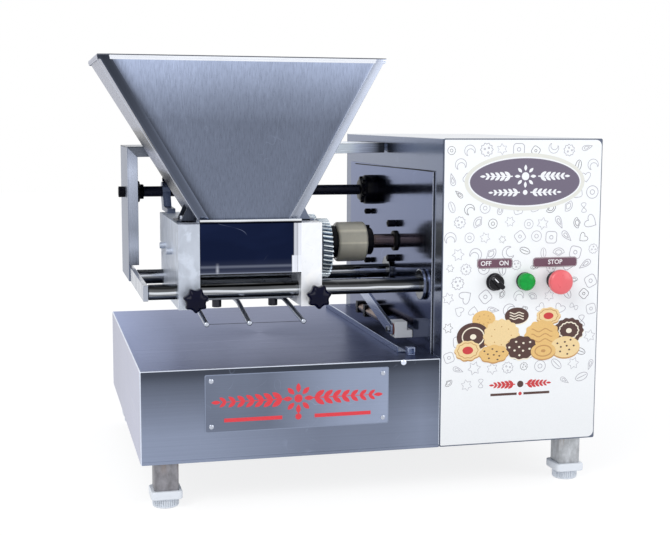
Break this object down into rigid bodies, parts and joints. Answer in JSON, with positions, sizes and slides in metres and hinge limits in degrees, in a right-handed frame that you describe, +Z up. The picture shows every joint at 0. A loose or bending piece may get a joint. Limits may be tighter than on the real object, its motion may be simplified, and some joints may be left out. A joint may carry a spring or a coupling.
{
  "type": "cookie depositor",
  "caption": "Countertop cookie dough depositor: tapered hopper over fluted feed rollers, a wire cutting frame and a drive cabinet beside a low base.",
  "frame": {"origin": "on the floor plane under the middle of the whole object", "axes": "+X to the operator's right, +Y away from the operator, +Z up; the front panel faces -Y"},
  "size_m": [0.8094, 0.638, 0.697],
  "materials": {
    "sheet": "satin",
    "polished": "polished",
    "mirror_sheet": "polished",
    "white_panel": "satin",
    "alloy": "satin",
    "gear_steel": "machined",
    "dark_steel": "satin",
    "brown_steel": "worn",
    "black_plastic": "gloss",
    "nylon": "satin",
    "white_plastic": "matte",
    "leg_steel": "worn",
    "grey_iron": "painted",
    "green_lens": "gloss",
    "red_cap": "satin",
    "label": "printed",
    "rubber": "matte"
  },
  "bodies": {
    "frame": {"base_shell": "sheet", "nameplate": "polished", "nameplate_screws": "polished", "cabinet_shell": "sheet", "cabinet_front": "white_panel", "cabinet_back": "sheet", "bearing_plate": "sheet", "leg_1": "leg_steel", "leg_2": "leg_steel", "leg_3": "leg_steel", "leg_4": "leg_steel", "foot_1": "white_plastic", "foot_2": "white_plastic", "foot_3": "white_plastic", "foot_4": "white_plastic", "guide_rods": "polished", "rod_flanges": "polished", "tie_bar": "polished", "u_frame": "sheet", "upper_shaft": "dark_steel", "shaft_fixings": "dark_steel", "wall_hub": "black_plastic", "shaft_seal": "rubber", "wall_bolts": "dark_steel", "gear_motor": "grey_iron", "bar_guides": "dark_steel", "tray_rail": "sheet", "control_collars": "dark_steel", "lamp_lens": "green_lens", "label_plates": "label", "cable_gland": "black_plastic"},
    "housing": {"block_l_upper": "alloy", "block_l_lower": "alloy", "block_r_upper": "alloy", "block_r_lower": "alloy", "cover_front": "mirror_sheet", "cover_rear": "sheet", "die_block": "alloy", "nozzles": "alloy", "hopper": "sheet", "hopper_bolts": "polished", "support_bracket": "sheet"},
    "knob_left": {"knob_l": "black_plastic"},
    "knob_right": {"knob_r": "black_plastic"},
    "shaft_clamp": {"clamp_knob": "black_plastic"},
    "rear_roller": {"roller_rear": "alloy", "gear_rear": "gear_steel", "hub_roller": "dark_steel"},
    "front_roller": {"roller_front": "alloy", "gear_front": "gear_steel"},
    "drive": {"drive_shaft": "brown_steel", "hub_drive": "dark_steel", "coupling_sleeve": "nylon"},
    "wire_carriage": {"wire_frame": "polished", "cutting_wire": "polished", "slide_block": "white_plastic", "guide_bar": "brown_steel"},
    "selector": {"selector_knob": "black_plastic"},
    "stop_plunger": {"stop_stem": "dark_steel"},
    "stop_head": {"stop_button": "red_cap"}
  },
  "joints": [
    {"name": "housing_slide", "type": "slide", "parent": "frame", "child": "housing", "axis": [-1, 0, 0], "range_m": [0, 0.024]},
    {"name": "knob_left_turn", "type": "hinge", "parent": "housing", "child": "knob_left", "pos_m": [-0.25925, -0.242, 0.32], "axis": [0, -1, 0], "range_deg": [0, 360]},
    {"name": "knob_right_turn", "type": "hinge", "parent": "housing", "child": "knob_right", "pos_m": [-0.06225, -0.242, 0.32], "axis": [0, -1, 0], "range_deg": [0, 360]},
    {"name": "shaft_clamp_turn", "type": "hinge", "parent": "housing", "child": "shaft_clamp", "pos_m": [-0.26625, 0.1, 0.495], "axis": [0, 0, 1], "range_deg": [0, 360]},
    {"name": "rear_roller_turn", "type": "hinge", "parent": "housing", "child": "rear_roller", "pos_m": [-0.16775, -0.038, 0.386], "axis": [1, 0, 0], "continuous": true},
    {"name": "front_roller_turn", "type": "hinge", "parent": "housing", "child": "front_roller", "pos_m": [-0.16775, -0.133, 0.386], "axis": [1, 0, 0], "continuous": true},
    {"name": "drive_turn", "type": "hinge", "parent": "frame", "child": "drive", "pos_m": [0.11875, -0.038, 0.386], "axis": [1, 0, 0], "continuous": true},
    {"name": "wire_stroke", "type": "slide", "parent": "frame", "child": "wire_carriage", "axis": [0, 1, 0], "range_m": [0, 0.17]},
    {"name": "selector_turn", "type": "hinge", "parent": "frame", "child": "selector", "pos_m": [0.22075, -0.297, 0.341], "axis": [0, 1, 0], "range_deg": [0, 90]},
    {"name": "stop_press", "type": "slide", "parent": "frame", "child": "stop_plunger", "axis": [0, 1, 0], "range_m": [0, 0.005], "stiffness_N_per_m": 900, "springref_m": -0.004},
    {"name": "stop_release", "type": "hinge", "parent": "stop_plunger", "child": "stop_head", "pos_m": [0.32575, -0.311, 0.341], "axis": [0, 1, 0], "range_deg": [0, 45], "stiffness_Nm_per_rad": 0.2, "springref_deg": -17.19}
  ],
  "couplings": [
    {"joint": "front_roller_turn", "follows": "rear_roller_turn", "ratio": -1},
    {"joint": "drive_turn", "follows": "rear_roller_turn", "ratio": 1}
  ]
}
